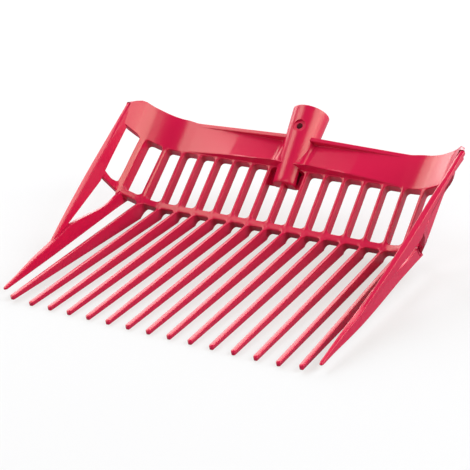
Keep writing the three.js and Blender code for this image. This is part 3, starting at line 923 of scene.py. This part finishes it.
# Handle socket: a tapered tube, flat-sided below the ledge and cut off behind.
def socketPiece():
    # A lathe: radius times sine across and times cosine forward, at its height up the
    # axis. Its outline goes from the foot's middle up the outside and down the bore.
    height = math.hypot(socket["mouthV"] - socket["footV"], socket["mouthN"] - socket["footN"])
    tilt = math.atan2(socket["mouthN"] - socket["footN"], socket["mouthV"] - socket["footV"])
    edge = socket["edge"]
    foot = socket["footEdge"]
    floor = height - socket["boreDepth"]
    turn = np.linspace(0, math.pi / 2, socket["edgeRows"])

    def outerRadius(h):
        return socket["footRadius"] + (socket["mouthRadius"] - socket["footRadius"]) * h / height

    def rows(radiusAt, start, end, count):
        return [(radiusAt(h), h) for h in np.linspace(start, end, count)]

    def innerRadius(h):
        return boreRadius(height - h)

    outline = [(0.0, 0.0), (outerRadius(0) * socket["footRingShare"], 0.0)]
    for t in turn:
        outline.append((outerRadius(0) - foot + foot * math.sin(t), foot - foot * math.cos(t)))
    outline += rows(outerRadius, foot * socket["edgeClear"], height - edge, socket["wallRows"])
    for t in turn[1:]:
        outline.append((outerRadius(height) - edge + edge * math.cos(t), height - edge + edge * math.sin(t)))
    outerRows = len(outline)
    for t in turn:
        outline.append((innerRadius(height) + edge - edge * math.sin(t), height - edge + edge * math.cos(t)))
    chamfer = socket["boreChamfer"]
    outline += rows(innerRadius, height - edge * socket["edgeClear"], floor + chamfer, socket["boreRows"])
    outline += [(innerRadius(floor) - chamfer, floor), (0.0, floor)]
    outline = np.array(outline)
    theta = np.linspace(0, 2 * math.pi, socket["columns"], endpoint=False)
    across = outline[:, :1] * np.sin(theta)
    forward = outline[:, :1] * np.cos(theta)
    h = np.broadcast_to(outline[:, 1:], across.shape)
    outside = (np.arange(len(outline)) < outerRows)[:, None]
    v = socket["footV"] + h * math.cos(tilt) - forward * math.sin(tilt)
    n = socket["footN"] + h * math.sin(tilt) + forward * math.cos(tilt)
    # Below the ledge the flanks are flat, and the back is cut off with the slats.
    below = np.clip((windowTop + socket["flankBlend"] - v) / socket["flankBlend"], 0, 1)
    flank = socket["flankX"] + (socket["mouthRadius"] - socket["flankX"]) * (1 - below)
    across = np.where(outside, np.clip(across, -flank, flank), across)
    aboveFoot = np.maximum(v - socket["footV"] - socket["backLift"], 0)
    backLimit = -fork["depth"] - aboveFoot * socket["backSlope"]
    n = np.where(outside, np.maximum(n, backLimit), n)
    tube = Surface()
    tube.add(fromLean(across, v, n), closed=True)
    return tube.make("handle_socket_tube")


def drill(name, radius, start, stop):
    # A cylinder square to the back, at the screw's height, from start to stop.
    bpy.ops.mesh.primitive_cylinder_add(
        vertices=socket["drillFaces"], radius=radius * millimetre, depth=(stop - start) * millimetre,
    )
    tool = bpy.context.object
    tool.name = name
    tool.location = (fromLean(0.0, socket["screwV"], (start + stop) / 2) * millimetre).tolist()
    tool.rotation_euler = (lean, 0, 0)
    return tool


tube = socketPiece()
screwAxisN = tubeAxisN(socket["screwV"])
frontN = screwAxisN + tubeRadius(socket["screwV"])
tools = [
    drill("screw hole", socket["screwRadius"], screwAxisN, frontN + socket["drillOverrun"]),
    drill("screw seat", socket["seatRadius"], frontN - socket["seatDepth"], frontN + socket["drillOverrun"]),
]
bpy.context.view_layer.update()
tube.modifiers.clear()
for tool in tools:
    cutter = tube.modifiers.new("drilled", "BOOLEAN")
    cutter.operation = "DIFFERENCE"
    cutter.solver = "EXACT"
    cutter.object = tool
bpy.context.view_layer.update()
baked = bpy.data.meshes.new_from_object(tube.evaluated_get(bpy.context.evaluated_depsgraph_get()))
tube.modifiers.clear()
tube.data = baked
for tool in tools:
    bpy.data.objects.remove(tool)
tube.data.shade_smooth()
tube.data.set_sharp_from_angle(angle=math.radians(socket["sharpAngle"]))
print("socket", len(tube.data.polygons))

# Webs beside the socket's foot: thin plates between the slats.
web = {
    "thickness": 2.6,
    "inner": 9.0,
    "slatGap": 1.0,
    "low": 53.9,
    "lap": 2.0,
    "rounding": [(0.9, 0.0), (0.3, 0.25), (0.0, 0.9)],  # way in from the edge, depth
}


def webPiece(side, name):
    # Rings from the front to the back, drawn in at both faces.
    outer = fork["pitch"] - web["slatGap"]
    x = np.array([web["inner"], outer, outer, web["inner"]]) * side
    toBack = [(inset, web["thickness"] - depth) for inset, depth in web["rounding"][::-1]]
    rings = []
    for inset, depth in web["rounding"] + toBack:
        low = web["low"] + inset
        top = windowTop + web["lap"]
        rings.append(fromLean(x, np.array([low, low, top, top]), -fork["depth"] + web["thickness"] - depth))
    return closedLoft(rings, name)


webs = [webPiece(-1, "socket_web_plate_left"), webPiece(1, "socket_web_plate_right")]
print("webs")


def fromHex(code):
    # sRGB to the linear values that shaders take.
    value = np.array([int(code[k:k + 2], 16) for k in (0, 2, 4)]) / 255
    linear = np.where(value <= 0.04045, value / 12.92, ((value + 0.055) / 1.055) ** 2.4)
    return (*linear.tolist(), 1.0)


def addNode(tree, kind, settings=None, links=None, **attributes):
    # One node with its settings and links.
    node = tree.nodes.new(kind)
    for key, value in attributes.items():
        setattr(node, key, value)
    for key, value in (settings or {}).items():
        node.inputs[key].default_value = value
    for key, source in (links or {}).items():
        tree.links.new(source, node.inputs[key])
    return node


# Material: polypropylene, dyed through and injection moulded. It gives the eye a clear
# red in the lit faces, a deep crimson in the shade, and a soft sheen from the fine
# grain of the mould. The grain is drawn a third of a millimetre wide.
plastic = {
    "colour": "CD1646",
    "roughness": 0.25,
    "ior": 1.49,
    "sheenTint": "FFFAD8",
    "grainSize": 0.35,
    "grainDetail": 2.0,
    "grainHeight": 0.01,
    "grainStrength": 0.15,
    # The bore's colour is painted shade: a dark crimson that stands in for the shade inside the tube.
    "boreShadeColour": "5A0A1E",
    "boreRoughness": 0.6,
    "boreSheen": 0.1,
}
crimson = bpy.data.materials.new("crimson polypropylene")
crimson.use_nodes = True
tree = crimson.node_tree
tree.nodes.clear()
place = addNode(tree, "ShaderNodeTexCoord")
grain = addNode(tree, "ShaderNodeTexNoise", {
    "Scale": 1 / (plastic["grainSize"] * millimetre),
    "Detail": plastic["grainDetail"],
}, {"Vector": place.outputs["Object"]})
bump = addNode(tree, "ShaderNodeBump", {
    "Strength": plastic["grainStrength"],
    "Distance": plastic["grainHeight"] * millimetre,
}, {"Height": grain.outputs["Fac"]})
shader = addNode(tree, "ShaderNodeBsdfPrincipled", {
    "Base Color": fromHex(plastic["colour"]),
    "Roughness": plastic["roughness"],
    "IOR": plastic["ior"],
    "Specular Tint": fromHex(plastic["sheenTint"]),
}, {"Normal": bump.outputs["Normal"]})
addNode(tree, "ShaderNodeOutputMaterial", None, {"Surface": shader.outputs["BSDF"]})

# The bore's skin is rougher. Its dark colour and low sheen are painted shade, so that the bore and the screw
# hole look dark.
boreCrimsonPaintedShade = crimson.copy()
boreCrimsonPaintedShade.name = "crimson polypropylene, dull bore in painted shade"
boreShaderPaintedShade = boreCrimsonPaintedShade.node_tree.nodes["Principled BSDF"]
boreShaderPaintedShade.inputs["Base Color"].default_value = fromHex(plastic["boreShadeColour"])
boreShaderPaintedShade.inputs["Roughness"].default_value = plastic["boreRoughness"]
boreShaderPaintedShade.inputs["Specular IOR Level"].default_value = plastic["boreSheen"]

pieces = [grid, tube, *webs, *struts, *blades]
for piece in pieces:
    piece.data.materials.clear()
    piece.data.materials.append(crimson)
    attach(piece, "root")
tube.data.materials.append(boreCrimsonPaintedShade)
# A face is the bore's, and takes the painted shade, where it lies well inside the tube's skin, away from both
# ends.
centres = np.array([p.center for p in tube.data.polygons]) / millimetre
rise = centres[:, 2] - fork["rootHeight"]
back = centres[:, 1] - fork["originY"]
faceV = back * leanCos + rise * leanSin
faceN = rise * leanCos - back * leanSin
fromAxis = np.hypot(centres[:, 0], faceN - tubeAxisN(faceV))
inBore = fromAxis < tubeRadius(faceV) - socket["boreShadeWall"]
inBore &= faceV > socket["footV"] + socket["boreShadeFootGap"]
inBore &= faceV < socket["mouthV"] - socket["boreShadeMouthGap"]
tube.data.polygons.foreach_set("material_index", inBore.astype(np.int32))
print("materials", int(inBore.sum()))

slats = ["slat_%02d" % k for k in range(0, fork["tines"] + 2)]
tines = ["tine_%02d" % k for k in range(1, fork["tines"] + 1)]
pairs = ["back_panel", "top_rim", "lower_ledge", "wing_panel", "wing_ledge", "wing_rail"]
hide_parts("cross_rail", *slats, *tines, *[p + s for p in pairs for s in ("_left", "_right")])
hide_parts("handle_socket")
for k, side in enumerate(("left", "right")):
    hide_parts("socket_web_" + side)
    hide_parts("wing_strut_" + side)
    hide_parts("wing_tine_" + side)

# Floor, light and camera. Lengths are in metres from here on. The reflection of the
# floor fades in from glossyFrom to glossyFull, so that undersides stay dark.
studio = {
    "floorSize": 6.0,
    "floor": "8A8C92",
    "glow": 0.62,
    "glowColour": "FFFDF7",
    "glossyFrom": 0.15,
    "glossyFull": 0.6,
    "sky": 0.05,
    "skyColour": "FFFFFF",
    "lampTarget": (0, 0, 0.03),
}
far = studio["floorSize"]
floorMesh = bpy.data.meshes.new("floor")
floorMesh.from_pydata([(-far, -far, 0), (far, -far, 0), (far, far, 0), (-far, far, 0)], [], [(0, 1, 2, 3)])
floor = bpy.data.objects.new("floor", floorMesh)
bpy.context.scene.collection.objects.link(floor)
# The sheet of paper shines for the eye, and for reflections from further off, so that
# the background is white in both. It still takes the fork's shadow.
paper = bpy.data.materials.new("white paper sheet")
paper.use_nodes = True
tree = paper.node_tree
tree.nodes.clear()
path = addNode(tree, "ShaderNodeLightPath")
distant = addNode(tree, "ShaderNodeMapRange", {
    "From Min": studio["glossyFrom"],
    "From Max": studio["glossyFull"],
}, {"Value": path.outputs["Ray Length"]})
reflected = addNode(tree, "ShaderNodeMath", None, {
    0: path.outputs["Is Glossy Ray"],
    1: path.outputs["Is Transmission Ray"],
}, operation="ADD", use_clamp=True)
mirrored = addNode(tree, "ShaderNodeMath", None, {
    0: reflected.outputs[0],
    1: distant.outputs["Result"],
}, operation="MULTIPLY")
seen = addNode(tree, "ShaderNodeMath", None, {
    0: path.outputs["Is Camera Ray"],
    1: mirrored.outputs[0],
}, operation="ADD", use_clamp=True)
glow = addNode(tree, "ShaderNodeMath", {1: studio["glow"]}, {0: seen.outputs[0]}, operation="MULTIPLY")
matt = addNode(tree, "ShaderNodeBsdfPrincipled", {
    "Base Color": fromHex(studio["floor"]),
    "Roughness": 1.0,
    "Specular IOR Level": 0.0,
    "Emission Color": fromHex(studio["glowColour"]),
}, {"Emission Strength": glow.outputs[0]})
addNode(tree, "ShaderNodeOutputMaterial", None, {"Surface": matt.outputs["BSDF"]})
floorMesh.materials.append(paper)

world = bpy.data.worlds.new("studio")
bpy.context.scene.world = world
world.use_nodes = True
tree = world.node_tree
tree.nodes.clear()
sky = addNode(tree, "ShaderNodeBackground", {
    "Color": fromHex(studio["skyColour"]),
    "Strength": studio["sky"],
})
addNode(tree, "ShaderNodeOutputWorld", None, {"Surface": sky.outputs["Background"]})


def addSoftbox(name, place, size, watts):
    # A rectangle of light that faces the fork.
    data = bpy.data.lights.new(name, "AREA")
    data.shape = "RECTANGLE"
    data.size, data.size_y = size
    data.energy = watts
    lamp = bpy.data.objects.new(name, data)
    lamp.location = place
    direction = np.array(studio["lampTarget"]) - np.array(place)
    lamp.rotation_euler = Vector(direction).to_track_quat("-Z", "Y").to_euler()
    bpy.context.scene.collection.objects.link(lamp)


softboxes = {
    "softbox at the right": {"place": (1.59, 0.28, 1.21), "size": (1.5, 1.5), "watts": 36},
    "softbox high at the left": {"place": (-1.33, -0.14, 1.52), "size": (1.6, 0.96), "watts": 20},
    "softbox behind at the left": {"place": (-1.06, 1.51, 0.93), "size": (3.0, 1.4), "watts": 58},
    "softbox in front": {"place": (0.52, -1.44, 1.32), "size": (1.2, 0.8), "watts": 8},
    "low softbox in front at the left": {"place": (-1.39, -1.39, 0.4), "size": (0.95, 0.7), "watts": 14},
    "low softbox behind at the right": {"place": (1.72, 0.99, 0.45), "size": (1.4, 0.9), "watts": 13},
}
for name, values in softboxes.items():
    addSoftbox(name, **values)
print("floor and lamps", len(softboxes))

view = {
    "place": (0.52548, -0.94529, 0.50033),
    "forward": (-0.4496, 0.79794, -0.40152),
    "up": (-0.1695, 0.36517, 0.91544),
    "lens": 92.49,
    "sensor": 36,
}
data = bpy.data.cameras.new("camera")
data.lens = view["lens"]
data.sensor_width = view["sensor"]
camera = bpy.data.objects.new("camera", data)
forward = np.array(view["forward"]) / np.linalg.norm(view["forward"])
right = np.cross(forward, view["up"])
right /= np.linalg.norm(right)
up = np.cross(right, forward)
camera.matrix_world = Matrix([
    [right[0], up[0], -forward[0], view["place"][0]],
    [right[1], up[1], -forward[1], view["place"][1]],
    [right[2], up[2], -forward[2], view["place"][2]],
    [0, 0, 0, 1],
])
bpy.context.scene.collection.objects.link(camera)
bpy.context.scene.camera = camera
bpy.context.scene.view_settings.view_transform = "Standard"
